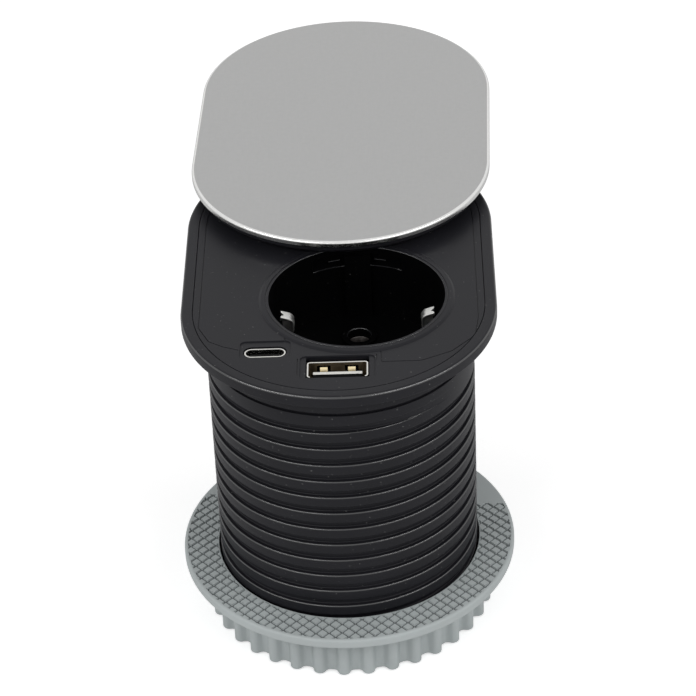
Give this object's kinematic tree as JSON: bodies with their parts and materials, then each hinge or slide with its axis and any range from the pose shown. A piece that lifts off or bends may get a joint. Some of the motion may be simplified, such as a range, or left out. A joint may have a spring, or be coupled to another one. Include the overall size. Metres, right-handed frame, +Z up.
{
  "type": "pop up desk socket",
  "caption": "Desk socket for a round desk cut-out: earthed socket, two charging ports, swivel lid, threaded sleeve and clamping nut.",
  "frame": {"origin": "centre of the cord inlet at the foot of the threaded sleeve, on the sleeve's axis and in the plane that it stands on", "axes": "+Z up along the sleeve's axis towards the socket face; front with the charging ports faces -Y; the opened lid reaches back along +Y"},
  "size_m": [0.0764, 0.1596, 0.0832],
  "materials": {
    "black_plastic": "satin black moulding",
    "black_gloss": "smooth black moulding",
    "brushed_lid": "fine brushed stainless",
    "grey_plastic": "matte grey moulding",
    "port_steel": "bright nickel plate",
    "spring_steel": "plated spring strip",
    "screw_steel": "zinc plated",
    "brass": "plain brass",
    "gold_contact": "gold flash",
    "white_insulator": "white moulding",
    "circuit_board": "green board",
    "ferrite": "dark ferrite and tape",
    "capacitor_sleeve": "sleeved can"
  },
  "bodies": {
    "housing": {"threaded_sleeve": "black_plastic", "flange": "black_plastic", "face_plate": "black_plastic", "socket_well": "black_gloss", "contact_base": "white_insulator", "pin_contact_front": "brass", "pin_contact_rear": "brass", "earth_strap": "spring_steel", "type_a_shell": "port_steel", "type_a_tongue": "white_insulator", "type_a_contacts": "gold_contact", "type_c_shell": "port_steel", "type_c_tongue": "black_gloss", "port_board": "circuit_board", "port_board_screws": "screw_steel", "charger_board": "circuit_board", "transformer": "ferrite", "bulk_capacitor": "capacitor_sleeve", "output_capacitors": "capacitor_sleeve", "charge_controller": "black_gloss", "base_cap": "black_plastic", "base_screws": "screw_steel", "charger_board_screws": "screw_steel", "cable_gland": "black_plastic", "cord_clamp": "black_plastic", "cord_clamp_screws": "screw_steel", "terminal_block": "white_insulator", "terminal_screws": "screw_steel", "pivot_bush": "brass"},
    "lid": {"lid_carrier": "black_plastic", "lid_plate": "brushed_lid", "lid_pivot": "screw_steel", "thrust_washer": "white_insulator", "lid_screw": "screw_steel", "spring_washer": "spring_steel"},
    "grip_ring": {"grip_ring": "grey_plastic"},
    "clamp_nut": {"clamp_nut": "grey_plastic"},
    "earth_clip_left": {"earth_clip_left": "spring_steel"},
    "earth_clip_right": {"earth_clip_right": "spring_steel"}
  },
  "joints": [
    {"name": "lid_swivel", "type": "hinge", "parent": "housing", "child": "lid", "pos_m": [0, 0.0433, 0.0785], "axis": [0, 0, 1], "range_deg": [-178, 2]},
    {"name": "nut_lift", "type": "slide", "parent": "housing", "child": "grip_ring", "axis": [0, 0, 1], "range_m": [0, 0.056]},
    {"name": "nut_spin", "type": "hinge", "parent": "grip_ring", "child": "clamp_nut", "pos_m": [0, 0, 0.006], "axis": [0, 0, 1], "range_deg": [0, 4640]},
    {"name": "earth_clip_left_flex", "type": "hinge", "parent": "housing", "child": "earth_clip_left", "pos_m": [-0.0175, 0.0029, 0.0625], "axis": [0, -1, 0], "range_deg": [0, 3], "stiffness_Nm_per_rad": 0.8},
    {"name": "earth_clip_right_flex", "type": "hinge", "parent": "housing", "child": "earth_clip_right", "pos_m": [0.0255, 0.0029, 0.0625], "axis": [0, 1, 0], "range_deg": [0, 3], "stiffness_Nm_per_rad": 0.8}
  ],
  "couplings": [
    {"joint": "nut_spin", "follows": "nut_lift", "rad_per_m": 1444.4}
  ]
}
